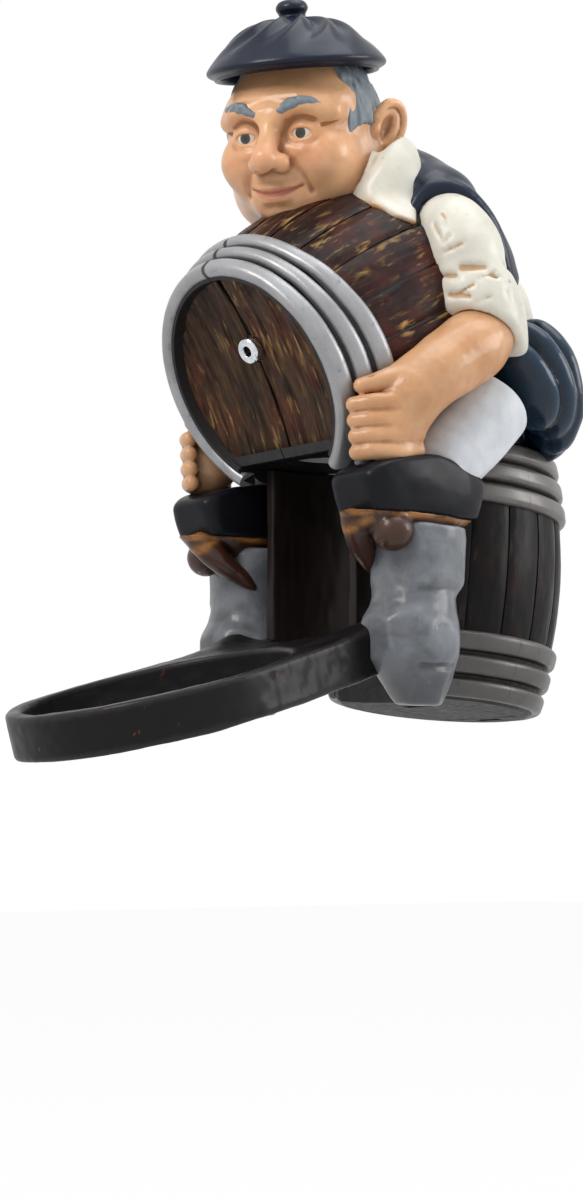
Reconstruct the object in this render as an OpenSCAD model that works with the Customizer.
// Electric cider pourer that sits on a bottle neck: a figure in country dress hugs a sloping
// cask, the beret is the push button, and a ring in front holds the glass under the spout.
// Millimetres, +Z up, -Y to the front. The origin is the mouth of the bottle-neck bore.

/* [Bottle neck] */
// Diameter of the bore that takes the bottle neck
neck_bore_d = 30; // [26:0.5:36]
// Length of the bore below the mouth seal
neck_bore_l = 21; // [14:1:28]
// Wall of the neck socket
socket_wall = 2.5; // [2:0.5:4]
// Thickness of the mouth seal
seal_t = 3; // [2:0.5:5]
// Free gap round the neck below the cask
neck_room = 4; // [3:0.5:8]

/* [Front cask] */
// Slope of the cask, front end down
cask_tilt = 28; // [15:0.5:35]
// Place of the cask's front rim centre, to the back
cask_y = -35.5; // [-45:1:-30]
// Height of the cask's front rim centre
cask_z = 19.2; // [16:0.1:26]
// Length of the cask
cask_len = 70; // [60:1:84]
// Radius of the staves at the front end
cask_end_r = 36.5; // [34:0.5:42]
// Radius of the staves at the belly
cask_belly_r = 45.5; // [42:0.5:56]
// Distance of the belly from the front end
cask_belly_at = 44; // [36:1:52]
// Wall of the cask
cask_wall = 2.6; // [2:0.1:3.5]
// Width of one hoop
hoop_w = 5; // [3:0.5:6]
// Height of a hoop over the staves
hoop_h = 2.2; // [1:0.1:3]
// Gap between hoops
hoop_gap = 1; // [0.4:0.1:2]
// Depth of the cask head behind the rim
head_recess = 4; // [2:0.5:5]
// Depth of the dish in the middle of the cask head
head_dish = 4; // [0:0.5:5]
// Thickness of the cask head
head_t = 2.4; // [2:0.1:3]
// Gap of the seam between the two cask halves
seam = 0.4; // [0.2:0.1:1]

/* [Spout] */
// Height of the spout over the middle of the cask head
spout_up = 10; // [4:0.5:14]
// Diameter of the spout's flange
spout_d = 9; // [7:0.5:14]
// Diameter of the spout's neck
spout_neck_d = 6.4; // [5.5:0.1:9]
// Diameter of the liquid passages
passage_d = 3; // [2:0.1:4]

/* [Rear cask] */
// Place of the rear cask's foot, to the back
rear_y = 41.5; // [40:0.5:54]
// Height of the rear cask's foot
rear_z = -81; // [-100:1:-74]
// Height of the rear cask
rear_h = 86; // [80:1:100]
// Backward lean of the rear cask
rear_lean = 6; // [0:0.5:8]
// Radius of the rear cask at its foot
rear_end_r = 31.5; // [30:0.5:40]
// Radius of the rear cask at its belly
rear_belly_r = 38; // [36:0.5:46]
// Wall of the rear cask
rear_wall = 2.4; // [2:0.1:3.5]

/* [Glass ring] */
// Inside diameter of the glass ring
ring_d = 84; // [76:1:100]
// Wall of the glass ring
ring_wall = 5; // [4:0.5:7]
// Height of the ring's band
ring_h = 14; // [10:1:20]
// Forward slope of the ring
ring_tilt = 15.8; // [8:0.1:20]
// Distance from the bottle's axis to the ring's centre
ring_reach = 72; // [70:1:96]
// Height of the ring's top at its centre
ring_z = -75.7; // [-90:0.1:-70]

/* [Head and beret] */
// Half width of the head
face_rx = 24; // [20:0.5:29]
// Half depth of the head
face_ry = 26; // [23:0.5:31]
// Height from the chin to the brow
face_h = 44; // [40:1:53]
// Turn of the head towards the figure's left
head_turn = 25; // [-40:1:40]
// Lean of the head
head_nod = 13; // [0:0.5:16]
// Direction that the head leans in, from the front to the figure's left
lean_to = 31; // [-40:1:40]
// Radius of the beret
beret_r = 29; // [27:0.5:36]
// Height of the beret without its stalk
beret_h = 18; // [15:0.5:24]
// Wall of the beret
beret_wall = 2.2; // [1.6:0.1:3]
// Travel of the beret when it is pressed
press_travel = 3; // [2:0.5:4]

/* [Pump and motor] */
// Teeth of each pump gear
gear_teeth = 12; // [10:1:14]
// Module of the pump gears
gear_module = 1; // [0.8:0.05:1.2]
// Width of the pump gears
gear_w = 7.7; // [6:0.1:10]
// Diameter of the motor
motor_d = 20.4; // [18:0.1:24.5]
// Length of the motor
motor_l = 25; // [20:1:30]
// Diameter of the motor shaft
shaft_d = 3; // [2:0.1:3.2]

/* [Batteries] */
// Diameter of a cell
cell_d = 14.5; // [10.5:0.1:15]
// Length of a cell
cell_l = 50.5; // [44:0.5:52]
// Thickness of the cask's foot and of the battery door
foot_t = 3; // [2.5:0.1:4]

/* [Hidden] */

$fn = 64;
tiny = 0.05;          // gap between faces that touch
fit_gap = 0.3;        // gap between curved faces that meet
run_gap = 0.05;       // radial running clearance
sides = 20;           // sides of a lofted limb

// Vector helpers
function unit(v) = v / norm(v);
function mix(a, b, t) = a + (b - a) * t;

// Ring of points round a centre, square to a direction; ra lies along X as far as it can
function ring3(c, t, ra, rb, n = sides) =
  let (w = unit(t), v = unit(cross(w, [1, 0, 0])), u = cross(v, w))
  [for (i = [0:n - 1]) c + ra * cos(360 * i / n) * u + rb * sin(360 * i / n) * v];

// Direction of a path of points at point i
function heading(p, i) =
  let (a = p[max(i - 1, 0)], b = p[min(i + 1, len(p) - 1)]) [b[0] - a[0], b[1] - a[1], b[2] - a[2]];

// Rings along a path of [x, y, z, ra, rb] stations
function rings_along(path, n = sides) =
  [for (i = [0:len(path) - 1]) ring3([path[i][0], path[i][1], path[i][2]], heading(path, i), path[i][3], path[i][4], n)];

// Level rings through stations of [x, y, z, ra, rb]
function level_rings(path, n = sides) =
  [for (s = path) ring3([s[0], s[1], s[2]], [0, 0, 1], s[3], s[4], n)];

// Closed solid through a list of rings
module skin(rings) {
  n = len(rings[0]);
  m = len(rings) - 1;
  walls = [for (i = [0:m - 1]) for (j = [0:n - 1])
    let (a = i * n + j, b = i * n + (j + 1) % n) [[a, a + n, b + n], [a, b + n, b]]];
  polyhedron(
    points = [for (r = rings) each r],
    faces = concat([[for (j = [0:n - 1]) j]], [for (w = walls) each w], [[for (j = [0:n - 1]) m * n + n - 1 - j]]),
    convexity = 6
  );
}

// A shape and its mirror image
module pair() {
  children();
  mirror([1, 0, 0]) children();
}

// Tube along Z
module tube(ro, ri, h) {
  difference() {
    cylinder(r = ro, h = h);
    translate([0, 0, -1]) cylinder(r = ri, h = h + 2);
  }
}

// Wire coil from z0 to z1, one unbroken tube with flat straight ends
module coil(r, wire, z0, z1, turns, per_turn = 12, n = 6) {
  steps = turns * per_turn;
  rise = (z1 - z0 - wire) / steps;
  line = [for (k = [0:steps]) [r * cos(360 * k / per_turn), r * sin(360 * k / per_turn), z0 + wire / 2 + k * rise]];
  along = [for (k = [0:steps]) heading(line, k)];
  skin([for (k = [0:steps])
    let (w = unit(along[k]), v = unit(cross(w, [0, 0, 1])), u = cross(v, w))
    [for (i = [0:n - 1]) line[k] + wire / 2 * (cos(360 * i / n) * u + sin(360 * i / n) * v)]]);
  echo(coil_gap = rise * per_turn - wire);
}

// Front cask frame: its axis runs along Z from the front rim, +Y is down
module in_cask() {
  translate([0, cask_y, cask_z]) rotate([cask_tilt - 90, 0, 0]) children();
}
// A point of the front cask's frame, in the part's frame
function from_cask(p) = [
  p[0],
  cask_y + p[2] * cos(cask_tilt) + p[1] * sin(cask_tilt),
  cask_z + p[2] * sin(cask_tilt) - p[1] * cos(cask_tilt)
];
function stave_r(z) = cask_belly_r - (cask_belly_r - cask_end_r) * pow((z - cask_belly_at) / cask_belly_at, 2);
hoop_pitch = hoop_w + hoop_gap;
hoops_end = 3 * hoop_pitch;
stave_steps = 9;
function stave_z(i) = mix(hoops_end, cask_len, i / stave_steps);
cask_outline = concat(
  [for (k = [0:2]) each let (z = k * hoop_pitch, e = z + hoop_w) [
    [stave_r(z) + hoop_h * 0.5, z],
    [stave_r(z) + hoop_h, z + hoop_w * 0.25],
    [stave_r(e) + hoop_h, e - hoop_w * 0.25],
    [stave_r(e) + hoop_h * 0.5, e],
    [stave_r(e), e],
    [stave_r(e + hoop_gap), e + hoop_gap]
  ]],
  [for (i = [1:stave_steps]) [stave_r(stave_z(i)), stave_z(i)]]
);
rim_in = cask_end_r - 1.5;
head_back = head_recess + head_t;
spout_seat = head_recess + head_dish * (1 - pow(spout_up / rim_in, 2));
inner_steps = 6;
dish_steps = 4;
// Points of the dished head, from the rim to the middle
function dish(t) = [for (k = [0:dish_steps]) let (r = (rim_in - 1) * (1 - k / dish_steps))
  [r, head_recess + t + head_dish * (1 - pow(r / rim_in, 2))]];
function inner_z(i) = mix(cask_len, head_back, i / inner_steps);

// Solid of the whole front cask, grown outwards, that its neighbours are cut by
module cask_room(grow) {
  in_cask() rotate_extrude() polygon(concat(
    [[0, -grow]],
    [for (p = cask_outline) [p[0] + grow, p[1] == 0 ? -grow : (p[1] == cask_len ? cask_len + grow : p[1])]],
    [[0, cask_len + grow]]
  ));
}

// Neck socket sizes
bore_r = neck_bore_d / 2;
socket_r = bore_r + socket_wall;
seat_r = bore_r + socket_wall * 0.4;
socket_cap = 3;
seal_top = neck_bore_l + seal_t;
socket_top = seal_top + socket_cap;
neck_clear_r = bore_r + 1;
shroud_r = bore_r + neck_room;
shroud_wall = 3.5;
shroud_out = shroud_r + shroud_wall;

// Pump frame: the gears turn about lines parallel to the cask's axis
pitch_r = gear_teeth * gear_module / 2;
gear_out_r = pitch_r + 0.85 * gear_module;
pump_y = -spout_up - 5;
pump_r = gear_out_r + 3.2;
cover_t = 2.4;
pump_z = 25.6;
cavity_z = pump_z + cover_t;
cavity_l = gear_w + 0.3;
pump_back = 2;
motor_z = cavity_z + cavity_l + pump_back + 0.2;
hose_wall = 1.1;
spigot_r = passage_d / 2 + 0.9;
hose_in_r = spigot_r + tiny;
hose_out_r = hose_in_r + hose_wall;
inlet_z = cavity_z + cavity_l / 2;

// U-shaped channel, open to the front, with a flat roof
channel_roof = -3;
module u_outline(r) {
  circle(r = r);
  translate([-r, -120]) square([2 * r, 120]);
}
module neck_channel(r, top) {
  translate([0, 0, -120]) linear_extrude(top + 120) u_outline(r);
}

// One half of the front cask, with the seat for the neck socket and the head's boss
module cask_half(side) {
  difference() {
    union() {
      in_cask() rotate_extrude() polygon(concat(
        [[rim_in, 0]],
        cask_outline,
        [for (i = [0:inner_steps]) [stave_r(inner_z(i)) - cask_wall, inner_z(i)]],
        dish(head_t), [for (k = [0:dish_steps]) dish(0)[dish_steps - k]]
      ));
      intersection() {
        neck_channel(shroud_out + fit_gap + 2, -tiny);
        cask_room(-cask_wall / 2);
      }
    }
    neck_channel(shroud_out + fit_gap, channel_roof);
    translate([0, 0, -60]) cylinder(r = neck_clear_r, h = 60 + tiny);
    translate([0, 0, -tiny]) cylinder(r = socket_r + fit_gap, h = socket_top);
    in_cask() translate([0, -spout_up, -1]) cylinder(d = spout_neck_d + 2 * tiny, h = head_back + head_dish + 2);
    translate([side > 0 ? seam / 2 - 200 : -seam / 2, -150, -150]) cube([200, 300, 300]);
  }
}
module left_cask_half() { color("#33241c") cask_half(1); }
module right_cask_half() { color("#33241c") cask_half(-1); }

// Socket for the bottle neck: blind bore, with the suction spigot on its cap
module neck_socket() {
  color("#d8d4c8") difference() {
    union() {
      cylinder(r = socket_r, h = socket_top);
      in_cask() translate([0, spigot_low, inlet_z]) rotate([90, 0, 0]) cylinder(r = spigot_r, h = spigot_low - spigot_high);
    }
    translate([0, 0, -1]) cylinder(r = bore_r, h = neck_bore_l + 2);
    translate([0, 0, neck_bore_l]) cylinder(r = seat_r, h = seal_t);
    in_cask() translate([0, spigot_low + 6, inlet_z]) rotate([90, 0, 0]) cylinder(d = passage_d, h = 40);
  }
}
// The spigot stands on the socket's cap, in the cask's frame
cap_y = -(socket_top - cask_z - inlet_z * sin(cask_tilt)) / cos(cask_tilt);
spigot_low = cap_y + 1.5;
spigot_high = cap_y - 4;

// Flat rubber ring in its wider seat, that the bottle's mouth is pressed against
module mouth_seal() {
  color("#5c5f63") translate([0, 0, neck_bore_l + 0.1]) tube(seat_r - tiny, bore_r * 0.56, seal_t - 0.1 - tiny);
}

// Chromed spout with its hose barb
barb_l = 5;
module spout() {
  color("#c9ccd0") in_cask() translate([0, -spout_up, 0]) difference() {
    union() {
      translate([0, 0, spout_seat - 3.2]) cylinder(d1 = spout_d - 1.6, d2 = spout_d, h = 1);
      translate([0, 0, spout_seat - 2.2]) cylinder(d = spout_d, h = 2.2 - 0.5);
      translate([0, 0, spout_seat - 0.6]) cylinder(d = spout_neck_d, h = 8);
      translate([0, 0, spout_seat + 7]) cylinder(r = spigot_r, h = barb_l - 0.6);
    }
    translate([0, 0, -5]) cylinder(d = passage_d, h = 40);
  }
}
nut_l = 2.6;
module spout_nut() {
  color("#b9bcc0") in_cask() translate([0, -spout_up, spout_seat + head_t + 0.6]) difference() {
    cylinder(r = spout_neck_d / 2 + 2.4, h = nut_l, $fn = 6);
    translate([0, 0, -1]) cylinder(d = spout_neck_d + 2 * tiny, h = nut_l + 2);
  }
}

// Hoses between the pump's ports, the spout and the socket
module delivery_hose() {
  hose_from = spout_seat + 8 + tiny;
  color("#e4e2dc") in_cask() translate([0, -spout_up, hose_from]) tube(hose_out_r, hose_in_r, pump_z - tiny - hose_from);
}
module suction_hose() {
  hose_from = pump_y + pump_r + tiny;
  color("#e4e2dc") in_cask() translate([0, hose_from, inlet_z]) rotate([-90, 0, 0])
    tube(hose_out_r, hose_in_r, cap_y - hose_out_r * tan(cask_tilt) - 0.2 - hose_from);
}

// Outline of the pump's casing and a ring of four screw places
module pump_outline(r) {
  hull() {
    translate([-pitch_r, 0]) circle(r = r);
    translate([pitch_r, 0]) circle(r = r);
  }
}
screw_d = 2;
module pump_screw_places() {
  for (x = [-1, 1], y = [-1, 1]) translate([x * (pitch_r + 1), y * (pump_r - 1.6), 0]) children();
}
module pump_cover() {
  color("#3c4046") in_cask() translate([0, pump_y, 0]) difference() {
    union() {
      translate([0, 0, pump_z]) linear_extrude(cover_t - tiny) pump_outline(pump_r);
      translate([0, 5, pump_z - barb_l]) cylinder(r = spigot_r, h = barb_l + 1);
    }
    translate([0, 5, pump_z - barb_l - 1]) cylinder(d = passage_d, h = 20);
    translate([pitch_r, 0, cavity_z - 1.2]) cylinder(d = shaft_d + 2 * run_gap, h = 5);
    pump_screw_places() translate([0, 0, pump_z - 1]) cylinder(d = screw_d + 0.2, h = 10);
  }
}
module pump_body() {
  color("#4a4e55") in_cask() translate([0, pump_y, 0]) difference() {
    union() {
      translate([0, 0, cavity_z]) linear_extrude(cavity_l + pump_back) pump_outline(pump_r);
      translate([0, pump_r - 1, inlet_z]) rotate([-90, 0, 0]) cylinder(r = spigot_r, h = barb_l);
    }
    for (x = [-pitch_r, pitch_r]) translate([x, 0, cavity_z - 1]) cylinder(r = gear_out_r + 0.25, h = cavity_l + 1);
    translate([-pitch_r, 0, cavity_z]) cylinder(d = shaft_d + 2 * run_gap, h = 30);
    translate([pitch_r, 0, cavity_z + cavity_l - 1]) cylinder(d = shaft_d + 2 * run_gap, h = 2.2);
    translate([0, 0, inlet_z]) rotate([-90, 0, 0]) cylinder(d = passage_d, h = 40);
    pump_screw_places() translate([0, 0, cavity_z - 1]) cylinder(d = screw_d + 0.2, h = 7);
  }
}

// Spur gear: involute flanks from the base circle, thinned for backlash
pressure = 28;
thin = 0.12;
base_r = pitch_r * cos(pressure);
root_r = pitch_r - 1.15 * gear_module;
function involute(a) = tan(a) * 180 / PI - a;
function roll_at(r) = acos(base_r / r);
function half_tooth(r) =
  90 / gear_teeth - thin / pitch_r * 90 / PI + involute(pressure) - (r > base_r ? involute(roll_at(r)) : 0);
flank = [for (k = [0:5]) mix(max(root_r, base_r + 0.001), gear_out_r, k / 5)];
function at(r, a) = [r * cos(a), r * sin(a)];
module gear_outline() {
  polygon([for (t = [0:gear_teeth - 1]) let (mid = 360 * t / gear_teeth) each concat(
    [at(root_r, mid - half_tooth(flank[0]))],
    [for (r = flank) at(r, mid - half_tooth(r))],
    [for (k = [0:5]) at(flank[5 - k], mid + half_tooth(flank[5 - k]))],
    [at(root_r, mid + half_tooth(flank[0]))]
  )]);
}
module gear_at(x, turn, bore) {
  in_cask() translate([x, pump_y, cavity_z + 0.15]) difference() {
    rotate([0, 0, turn]) linear_extrude(gear_w) gear_outline();
    translate([0, 0, -1]) cylinder(d = bore, h = gear_w + 2);
  }
}
module drive_gear() { color("#e8e2cf") gear_at(-pitch_r, 0, shaft_d + 0.02); }
module idler_gear() { color("#e8e2cf") gear_at(pitch_r, 180 + 180 / gear_teeth, shaft_d + 2 * run_gap); }
module idler_pin() {
  color("#b4b7bb") in_cask() translate([pitch_r, pump_y, cavity_z - 1]) cylinder(d = shaft_d, h = cavity_l + 2);
}
module pump_screws() {
  color("#9a9da1") in_cask() translate([0, pump_y, 0]) pump_screw_places() {
    translate([0, 0, pump_z - tiny]) cylinder(d = screw_d, h = 7);
    translate([0, 0, pump_z - 1.4]) cylinder(d = screw_d * 1.8, h = 1.4 - tiny);
  }
}

// Motor behind the pump, its shaft in line with the drive gear
can_wall = 1;
end_cap_l = 4;
shaft_from = cavity_z + 0.15;
module at_motor() { in_cask() translate([-pitch_r, pump_y, 0]) children(); }
module motor_can() {
  color("#b9bcbf") at_motor() translate([0, 0, motor_z]) difference() {
    cylinder(d = motor_d, h = motor_l - end_cap_l);
    translate([0, 0, can_wall]) cylinder(d = motor_d - 2 * can_wall, h = motor_l);
    translate([0, 0, -1]) cylinder(d = shaft_d + 2 * run_gap, h = 10);
  }
}
magnet_l = 13;
magnet_z = motor_z + can_wall + 2;
magnet_t = 1.8;
module motor_magnets() {
  ro = motor_d / 2 - can_wall - tiny;
  color("#55565a") at_motor() translate([0, 0, magnet_z]) difference() {
    tube(ro, ro - magnet_t, magnet_l);
    translate([-20, -3, -1]) cube([40, 6, magnet_l + 2]);
  }
}
module motor_end_cap() {
  color("#e9e6dd") at_motor() translate([0, 0, motor_z + motor_l - end_cap_l + tiny]) difference() {
    union() {
      cylinder(d = motor_d, h = end_cap_l - tiny);
      translate([0, 0, -2.5]) tube(motor_d / 2 - can_wall - 0.1, motor_d / 2 - can_wall - 1.6, 2.6);
    }
    translate([0, 0, -1]) cylinder(d = shaft_d + 2 * run_gap, h = end_cap_l - 0.6);
  }
}
module motor_shaft() {
  color("#a9acb0") at_motor() translate([0, 0, shaft_from]) cylinder(d = shaft_d, h = motor_z + motor_l - 2.2 - shaft_from);
}
module armature() {
  ro = motor_d / 2 - can_wall - magnet_t - 0.6;
  color("#b5652f") at_motor() translate([0, 0, magnet_z]) difference() {
    union() {
      for (k = [0:2]) rotate([0, 0, 120 * k]) intersection() {
        cylinder(r = ro, h = magnet_l);
        translate([0, -2.2, 0]) cube([ro + 1, 4.4, magnet_l]);
      }
      cylinder(r = ro * 0.55, h = magnet_l);
      translate([0, 0, magnet_l - 1]) cylinder(r = shaft_d / 2 + 1.2, h = 4);
    }
    translate([0, 0, -1]) cylinder(d = shaft_d + 0.02, h = magnet_l + 8);
  }
}
// Strap that carries the motor on the roof of the cask
strap_w = 10;
module motor_bracket() {
  zc = motor_z + 12;
  roof_r = min(stave_r(zc), stave_r(zc + strap_w)) - cask_wall - 0.4;
  roof = sqrt(pow(roof_r, 2) - pow(pitch_r + 3, 2)) - 0.1;
  color("#8f9296") at_motor() difference() {
    union() {
      translate([0, 0, zc]) cylinder(d = motor_d + 3.4, h = strap_w);
      translate([-3, pump_y - roof + 2 * abs(pump_y), zc]) cube([6, roof - abs(pump_y) - motor_d / 2, strap_w]);
    }
    translate([0, 0, zc - 1]) cylinder(d = motor_d + 2 * tiny, h = strap_w + 2);
    translate([-4, -60, zc - 1]) cube([8, 60 - roof + abs(pump_y), strap_w + 2]);
  }
}

// U-shaped wall round the neck that ties the casks and the stones together
shroud_low = -76;
shroud_front = -12;
shoulder_z = -60;
module neck_shroud() {
  color("#4a2f1d") difference() {
    translate([0, 0, shroud_low]) linear_extrude(channel_roof - tiny - shroud_low) difference() {
      intersection() {
        u_outline(shroud_out);
        translate([-50, shroud_front]) square([100, 100]);
      }
      u_outline(shroud_r);
    }
    shoulder_room(0);
  }
}
// Space of the bottle's shoulder
shoulder_h = 40;
shoulder_top_r = shroud_r - 0.5;
shoulder_foot_r = shroud_r + 12;
function shoulder_r(z) = mix(shoulder_top_r, shoulder_foot_r, (shoulder_z - z) / shoulder_h);
module shoulder_room(grow) {
  translate([0, 0, shoulder_z - shoulder_h]) cylinder(r1 = shoulder_foot_r + grow, r2 = shoulder_top_r + grow, h = shoulder_h);
}
// Space of the U-shaped wall and all within it
module shroud_room(grow) {
  translate([0, 0, -200]) linear_extrude(200 + channel_roof) u_outline(shroud_out + grow);
}

// Rear cask frame: Z runs up its axis from the foot
module in_rear() { translate([0, rear_y, rear_z]) rotate([-rear_lean, 0, 0]) children(); }
function rear_r(z) = rear_belly_r - (rear_belly_r - rear_end_r) * pow(z / rear_h * 2 - 1, 2);
rear_hoop_w = 6.5;
rear_steps = 10;
function rear_hoops(z) = [for (k = [0:2]) each let (a = z + k * (rear_hoop_w + hoop_gap), b = a + rear_hoop_w) [
  [rear_r(a), a], [rear_r(a) + hoop_h, a + 1.4], [rear_r(b) + hoop_h, b - 1.4], [rear_r(b), b]]];
rear_band = 3 * (rear_hoop_w + hoop_gap);
rear_outline = concat(
  rear_hoops(0.5),
  [for (i = [1:rear_steps - 1]) let (z = mix(rear_band, rear_h - rear_band, i / rear_steps)) [rear_r(z), z]],
  rear_hoops(rear_h - rear_band + hoop_gap)
);
bay_x = cell_d + 2;
bay_y0 = max(1.5 - cell_d, shoulder_r(rear_z) + rear_wall + fit_gap - rear_y);
bay_y1 = bay_y0 + 2 * cell_d + 8;
hinge_y = bay_y1;
hinge_r = foot_t / 2;
pin_r = 0.8;
knuckle = 10;
module rear_solid() {
  in_rear() rotate_extrude() polygon(concat(
    [[0, 0], [rear_end_r - 0.6, 0]], rear_outline, [[rear_r(rear_h) - rear_wall, rear_h], [0, rear_h]]));
}
module rear_cask() {
  color("#2c2520") difference() {
    union() {
      in_rear() difference() {
        rotate_extrude() polygon(concat(
          [[0, 0], [rear_end_r - 0.6, 0]], rear_outline, [[rear_r(rear_h) - rear_wall, rear_h]],
          [for (i = [0:rear_steps]) let (z = mix(rear_h - 1, foot_t, i / rear_steps)) [rear_r(z) - rear_wall, z]],
          [[0, foot_t]]
        ));
        translate([-bay_x, bay_y0, -1]) cube([2 * bay_x, bay_y1 - bay_y0 - hinge_r - 0.3, foot_t + 2]);
        translate([-knuckle / 2 - 0.3, hinge_y - 2 * hinge_r - 0.3, -1]) cube([knuckle + 0.6, 4 * hinge_r, foot_t + 2]);
        translate([-knuckle - 4, hinge_y, hinge_r]) rotate([0, 90, 0]) cylinder(r = pin_r + 0.01, h = 2 * knuckle + 8);
      }
      intersection() {
        rear_solid();
        union() {
          shroud_room(fit_gap + rear_wall);
          shoulder_room(rear_wall);
        }
      }
    }
    cask_room(fit_gap);
    shroud_room(fit_gap);
    shoulder_room(0);
  }
}

// Four cells side by side in a tray over the door
strip_t = 0.6;
cell_z = foot_t - 0.4 + strip_t + 3 * tiny;
cell_pitch = cell_d + 0.3;
tray_t = 1.6;
spring_l = 5;
tray_z = cell_z + cell_l + spring_l + tiny;
cell_y = (bay_y0 + bay_y1) / 2 - 1.5;
module cell_places() {
  for (x = [-0.5, 0.5], y = [-0.5, 0.5]) translate([x * cell_pitch, cell_y + y * cell_pitch, 0]) children();
}
module battery_tray() {
  w = 2 * cell_pitch + 0.4;
  color("#2f3236") in_rear() difference() {
    union() {
      translate([-w / 2 - tray_t, cell_y - w / 2 - tray_t, foot_t + tiny])
        cube([w + 2 * tray_t, w + 2 * tray_t, tray_z + tray_t - foot_t]);
      translate([-bay_x - 2.5, cell_y - w / 2 - tray_t, foot_t + tiny]) cube([2 * bay_x + 5, w + 2 * tray_t, 2]);
    }
    translate([-w / 2, cell_y - w / 2, 0]) cube([w, w, tray_z]);
  }
}
module battery_cells() {
  color("#b08d3c") in_rear() cell_places() translate([0, 0, cell_z]) union() {
    cylinder(d = cell_d, h = cell_l - 1.5);
    cylinder(d = cell_d * 0.38, h = cell_l);
  }
}
module contact_springs() {
  color("#c8cacc") in_rear() cell_places() coil(3.2, 0.8, cell_z + cell_l + tiny, tray_z - tiny, 3);
}
module contact_strips() {
  color("#cfb56a") in_rear() translate([0, cell_y, 0]) for (y = [-0.5, 0.5])
    translate([-cell_pitch, y * cell_pitch - 4, foot_t - 0.4 + tiny]) cube([2 * cell_pitch, 8, strip_t]);
}

// Battery door in the foot, hinged at the back; its back edge clears the foot as it swings
door_back = sqrt(pow(hinge_r + 0.6, 2) + pow(hinge_r, 2));
module battery_door() {
  color("#2c2520") in_rear() difference() {
    union() {
      translate([-bay_x + 0.3, bay_y0 + 0.3, 0]) cube([2 * bay_x - 0.6, bay_y1 - bay_y0 - 0.3 - door_back, foot_t - 0.4]);
      translate([-knuckle / 2, hinge_y, hinge_r]) rotate([0, 90, 0]) cylinder(r = hinge_r, h = knuckle);
      translate([-knuckle / 2, hinge_y - door_back - 1, 0]) cube([knuckle, door_back + 1, foot_t - 0.4]);
    }
    translate([-knuckle, hinge_y, hinge_r]) rotate([0, 90, 0]) cylinder(r = pin_r + run_gap, h = 2 * knuckle);
    translate([-6, bay_y0 + 4, -0.01]) cube([12, 3, 1.2]);
  }
}
module door_hinge_pin() {
  color("#a9acb0") in_rear() translate([-knuckle - 3, hinge_y, hinge_r]) rotate([0, 90, 0]) cylinder(r = pin_r, h = 2 * knuckle + 6);
}

// Stones under the feet, beside the bottle's neck
stone_x = shroud_out + 18;
stone_y = -6;
stone_top = -29.5;
function stone_stations() = [for (s = [[0, 12, 13], [6, 15.5, 16], [18, 17.5, 17.5], [25, 15.5, 16], [37, 16, 16.5], [47, 15, 15.5], [51.5, 13, 14]])
  [stone_x, stone_y, stone_top - 51.5 + s[0], s[1], s[2]]];
module stone() {
  difference() {
    skin(level_rings(stone_stations()));
    shroud_room(fit_gap);
    shoulder_room(0);
    ring_tangs(fit_gap);
  }
}
module left_stone() { color("#7e838a") stone(); }
module right_stone() { color("#7e838a") mirror([1, 0, 0]) stone(); }

// Wooden clogs on the stones, toes forward
clog_base = stone_top + tiny;
clog_h = 21;
function clog_stations() = [for (s = [[-31, 3, 3, 14], [-26, 8, 7, 12], [-16, 11.5, 10, 11], [-3, 12.5, 10.5, 11.5], [11, 12, 9.5, 12.5], [22, 10, 8, 13.5], [29, 6, 5, 14.5]])
  [stone_x + 0.5, stone_y + s[0], clog_base + s[3], s[1], s[2]]];
module clog() {
  difference() {
    union() {
      skin(rings_along(clog_stations()));
      translate([stone_x + 0.5, stone_y - 10, clog_base]) cylinder(r = 7, h = 6);
      translate([stone_x + 0.5, stone_y + 9, clog_base]) cylinder(r = 5.5, h = 6);
    }
    cask_room(fit_gap);
    shroud_room(fit_gap);
    translate([-200, -200, clog_base - 40]) cube([400, 400, 40]);
  }
}
module left_clog() { color("#23252b") clog(); }
module right_clog() { color("#23252b") mirror([1, 0, 0]) clog(); }

// Legs in socks from the clogs back to the breeches
sock_r = 12.5;
sock_from = [stone_x + 2.5, 3, -13];
sock_to = [stone_x + 3, 34, 19];
module sock_path(grow, back) {
  skin(rings_along([for (t = [0, 0.2, 0.6, back])
    [mix(sock_from[0], sock_to[0], t), mix(sock_from[1], sock_to[1], t), mix(sock_from[2], sock_to[2], t),
      sock_r * (t == 0 ? 0.7 : 1) + grow, sock_r * (t == 0 ? 0.7 : 1) + grow]]));
}
module clog_room(grow) {
  skin(rings_along([for (s = clog_stations()) [s[0], s[1], s[2], s[3] + grow, s[4] + grow]]));
}
module sock() {
  difference() {
    sock_path(0, 1);
    clog_room(fit_gap);
    cask_room(fit_gap);
    rear_room(fit_gap);
  }
}
module rear_room(grow) {
  in_rear() translate([0, 0, -grow]) cylinder(r = rear_belly_r + hoop_h + grow, h = rear_h + 2 * grow);
}
module left_sock() { color("#b9bec6") sock(); }
module right_sock() { color("#b9bec6") mirror([1, 0, 0]) sock(); }

// Breeches: seat and two full thighs
seat_z = rear_z + rear_h * cos(rear_lean) + 1;
waist_z = 46;
cloth_t = 3;
module breeches_room(grow) {
  skin(level_rings([for (s = [[50, min(1, seat_z - 3), 30, 22], [52, 8, 37, 27], [55, 20, 41, 29], [56, 32, 41, 27], [55, waist_z, 36, 23]])
    [0, s[0], s[1], s[2] + grow, s[3] + grow]]));
  pair() translate([stone_x - 2, 48, 22]) sphere(r = 17.5 + grow);
}
module breeches() {
  color("#152233") difference() {
    breeches_room(0);
    breeches_room(-cloth_t);
    cask_room(fit_gap);
    rear_room(fit_gap);
    pair() sock_path(fit_gap, 1);
    translate([-100, -100, waist_z - tiny]) cube([200, 300, 100]);
  }
}

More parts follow.
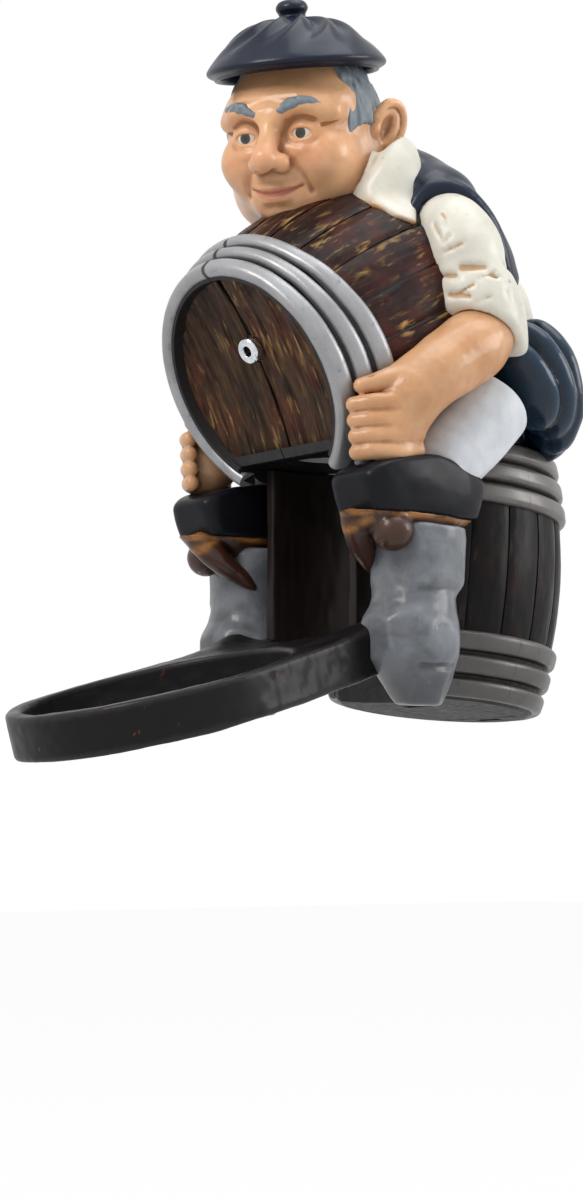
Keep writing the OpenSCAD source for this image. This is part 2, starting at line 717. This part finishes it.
// Vest: the torso from the waist to the collar
module vest_room(grow) {
  skin(level_rings([for (s = [[50, waist_z + tiny, 35, 24], [46, 58, 36, 24], [38, 72, 36, 24], [28, 86, 34, 24], [20, 96, 26, 19], [16, 103, 15, 10]])
    [0, s[0], s[1], s[2] + grow, s[3] + grow]]));
}
module collar_room(grow) {
  skin(level_rings([for (s = [[8, 74, 29, 19], [7, 82, 31, 20], [6, 91, 29, 20], [6, 99, 25, 17], [7, 104, 20, 12]])
    [0, s[0], s[1], s[2] + grow, s[3] + grow]]));
}
module vest() {
  color("#1a2433") difference() {
    vest_room(0);
    vest_room(-cloth_t);
    cask_room(fit_gap);
    collar_room(fit_gap);
    pair() sleeve_room(fit_gap);
    head_room(fit_gap);
  }
}
module shirt_collar() {
  color("#dfe2e0") difference() {
    collar_room(0);
    cask_room(fit_gap);
    head_room(fit_gap);
    in_head() pair() ear_place() translate([0, 0, -4]) cylinder(r = ear_r + fit_gap, h = 12);
    pair() sleeve_room(fit_gap);
  }
}

// Arms: rolled sleeves and bare forearms round the cask
arm_x = cask_belly_r;
module sleeve_room(grow) {
  skin(rings_along([for (s = [[-14, 13, 87, 7], [-11, 14, 82, 13], [-6, 16, 70, 15], [-1, 18.5, 57, 15.5], [2, 20.5, 46, 16.5], [2.5, 22, 36, 16.5], [2.5, 22, 32, 13]])
    [arm_x + s[0], s[1], s[2], s[3] * 0.85 + grow, s[3] + grow]]));
}
module forearm_room(grow) {
  skin(rings_along([for (s = [[3, 32, 36, 7], [3, 27, 34, 10.5], [4, 12, 28, 10], [4, 2, 22.5, 9], [3.5, -8, 15, 9], [0.5, -15, 8, 11.5], [-2, -22, 3, 12], [-5, -29, 1, 9]])
    [arm_x + s[0], s[1], s[2], s[3] * 0.85 + grow, s[3] * 1.05 + grow]]));
}
module sleeve() {
  difference() {
    sleeve_room(0);
    cask_room(fit_gap);
    forearm_room(fit_gap);
    breeches_room(fit_gap);
    head_room(fit_gap);
  }
}
module forearm() {
  difference() {
    forearm_room(0);
    cask_room(fit_gap);
    sock_path(fit_gap, 1);
    clog_room(fit_gap);
    breeches_room(fit_gap);
  }
}
module left_sleeve() { color("#e3e4de") sleeve(); }
module right_sleeve() { color("#e3e4de") mirror([1, 0, 0]) sleeve(); }
module left_forearm() { color("#c08a5c") forearm(); }
module right_forearm() { color("#c08a5c") mirror([1, 0, 0]) forearm(); }

// Head frame: Z runs up through the beret's stalk
head_c = [-2.8, -12.4, 100.6];
module in_head() {
  translate(head_c) rotate([0, 0, lean_to]) rotate([head_nod, 0, 0]) rotate([0, 0, head_turn - lean_to]) children();
}
brow = face_h / 2;
crown_r = beret_r - beret_wall - 2.4;
crown_top = brow + 6;
well_r = 9;
ear_r = 8.5;
well_low = -11;
module head_room(grow) {
  in_head() skin(level_rings([for (s = [[-1.14, -9, 0.42, 0.4], [-1, -7, 0.68, 0.62], [-0.6, -3, 1, 0.92], [0, 0, 1.06, 1], [0.5, 0, 1.04, 1], [1, 0, 0.93, 0.86]])
    [0, s[1], s[0] * brow, s[2] * face_rx + grow, s[3] * face_ry + grow]]));
}
module head_shell() {
  color("#c6936a") difference() {
    union() {
      head_room(0);
      in_head() {
        translate([0, 1, brow - 1]) cylinder(r1 = face_rx * 0.95, r2 = crown_r - 5, h = crown_top - brow + 1);
        pair() ear_place() ear();
      }
    }
    cask_room(fit_gap);
    in_head() {
      translate([0, 0, well_low]) cylinder(r = well_r, h = 80);
      translate([0, 0, crown_top - 3]) cylinder(r = well_r + 4, h = 10);
    }
  }
}
module ear_place() { translate([face_rx + 0.5, 5.5, 8]) rotate([0, 0, 10]) rotate([0, 90, 0]) children(); }
module ear() {
  difference() {
    translate([0, 0, -2]) cylinder(r1 = 6, r2 = ear_r, h = 7);
    translate([0, 0, 3]) cylinder(r1 = 4, r2 = ear_r - 2, h = 3);
  }
}

// Beret: a hollow cap with a stalk, pressed down on its spring
beret_low = brow + 1;
rod_r = 3;
module beret() {
  color("#1c2736") in_head() translate([0, 0, beret_low]) difference() {
    rotate_extrude() polygon([
      [0, beret_h], [0, beret_h + 6.5], [3.2, beret_h + 6.5], [5, beret_h + 4.8], [5, beret_h + 2], [6, beret_h],
      [beret_r * 0.55, beret_h - 1.5], [beret_r * 0.82, beret_h - 5.5], [beret_r * 0.96, beret_h - 9.5],
      [beret_r, beret_h * 0.3], [beret_r - 2.5, 0], [beret_r - 2.5 - beret_wall, 0],
      [beret_r - beret_wall - 0.4, beret_h * 0.3], [beret_r * 0.94 - beret_wall, beret_h - 10],
      [beret_r * 0.78 - beret_wall, beret_h - 6.5], [beret_r * 0.5, beret_h - 3.6], [rod_r + 2.2, beret_h - 3.2], [rod_r + 2.2, beret_h - 8],
      [rod_r + tiny, beret_h - 8], [rod_r + tiny, beret_h]
    ]);
  }
}
// Rod from the beret down to the switch
rod_low = 8;
module push_rod() {
  color("#e6e2d6") in_head() union() {
    translate([0, 0, rod_low]) cylinder(r = rod_r, h = beret_low + beret_h - rod_low - tiny);
    translate([0, 0, rod_low - 2]) cylinder(r1 = 1.2, r2 = rod_r, h = 2);
  }
}
// Bush in the head's well that guides the rod and seats the spring
guide_z = crown_top - 7;
guide_t = 2.5;
module rod_guide() {
  color("#d8d4c8") in_head() translate([0, 0, guide_z]) tube(well_r - tiny, rod_r + run_gap, guide_t);
}
module button_spring() {
  color("#c3c6c9") in_head() coil(rod_r + 1.3, 0.9, guide_z + guide_t + tiny, beret_low + beret_h - 8 - tiny, 4);
}
// Lever switch at the foot of the well
lever_t = 1;
lever_y = 6;
lever_l = 8;
lever_z = rod_low - 2.4 - lever_t;
switch_top = lever_z - 4.6;
module switch_body() {
  color("#22252a") in_head() difference() {
    union() {
      translate([-well_r * 0.6, -well_r * 0.7, well_low + tiny]) cube([well_r * 1.2, well_r * 1.4, switch_top - well_low]);
      pair() translate([2.3, lever_y - 1.6, switch_top - 1]) cube([2, 1.9, lever_z + 2.4 - switch_top]);
    }
    translate([-10, lever_y - 0.6, lever_z + lever_t / 2]) rotate([0, 90, 0]) cylinder(r = lever_pin_r + run_gap, h = 20);
  }
}
lever_pin_r = 0.5;
module switch_lever() {
  color("#c8cacc") in_head() union() {
    translate([-4.2, lever_y - 0.6, lever_z + lever_t / 2]) rotate([0, 90, 0]) cylinder(r = lever_pin_r, h = 8.4);
    translate([-2.1, lever_y - lever_l, lever_z]) cube([4.2, lever_l, lever_t]);
  }
}

// Glass ring with the arm that clasps the bottle's neck; its tangs plug into the stones
module in_ring() { translate([0, -ring_reach, ring_z]) rotate([ring_tilt, 0, 0]) children(); }
ring_r = ring_d / 2;
ring_out = ring_r + ring_wall;
arm_half = stone_x - 4;
arm_back = ring_reach / cos(ring_tilt) - 17;
tang_w = 8;
tang_l = 10;
module ring_tangs(grow) {
  in_ring() pair() translate([stone_x - 9 - tang_w / 2 - grow, arm_back - 6, -ring_h + 3 - grow])
    cube([tang_w + 2 * grow, tang_l + 6 + grow, ring_h - 6 + 2 * grow]);
}
module glass_ring() {
  color("#241f22") difference() {
    union() {
      in_ring() translate([0, 0, -ring_h]) cylinder(r = ring_out, h = ring_h);
      in_ring() translate([0, 0, -ring_h]) linear_extrude(ring_h) polygon([
        [-ring_out * cos(12), ring_out * sin(12)], [ring_out * cos(12), ring_out * sin(12)],
        [arm_half, arm_back], [-arm_half, arm_back]]);
      ring_tangs(0);
    }
    in_ring() translate([0, 0, -ring_h - 1]) cylinder(r = ring_r, h = ring_h + 2);
    translate([0, 0, -200]) cylinder(r = shroud_r + 2, h = 300);
    shoulder_room(1);
    pair() stone_front_room();
    in_ring() ring_screw_places() translate([0, 0, -ring_h - 1]) cylinder(d = screw_d + 0.2, h = 40);
  }
}
// Space of a stone without its pocket, that the arm is cut by
module stone_front_room() {
  difference() {
    skin(level_rings([for (s = stone_stations()) [s[0], s[1], s[2], s[3] + fit_gap, s[4] + fit_gap]]));
    ring_tangs(0);
  }
}
module ring_screw_places() { pair() translate([stone_x - 9, arm_back + 5, 0]) children(); }
module ring_screws() {
  color("#8f9296") in_ring() ring_screw_places() translate([0, 0, -ring_h + 3.2]) cylinder(d = screw_d, h = ring_h - 6.4);
}

left_cask_half();
right_cask_half();
neck_socket();
mouth_seal();
spout();
spout_nut();
delivery_hose();
suction_hose();
pump_cover();
pump_body();
drive_gear();
idler_gear();
idler_pin();
pump_screws();
motor_can();
motor_magnets();
motor_end_cap();
motor_shaft();
armature();
motor_bracket();
neck_shroud();
rear_cask();
battery_tray();
battery_cells();
contact_springs();
contact_strips();
battery_door();
door_hinge_pin();
left_stone();
right_stone();
left_clog();
right_clog();
left_sock();
right_sock();
breeches();
vest();
shirt_collar();
left_sleeve();
right_sleeve();
left_forearm();
right_forearm();
head_shell();
beret();
push_rod();
rod_guide();
button_spring();
switch_body();
switch_lever();
glass_ring();
ring_screws();
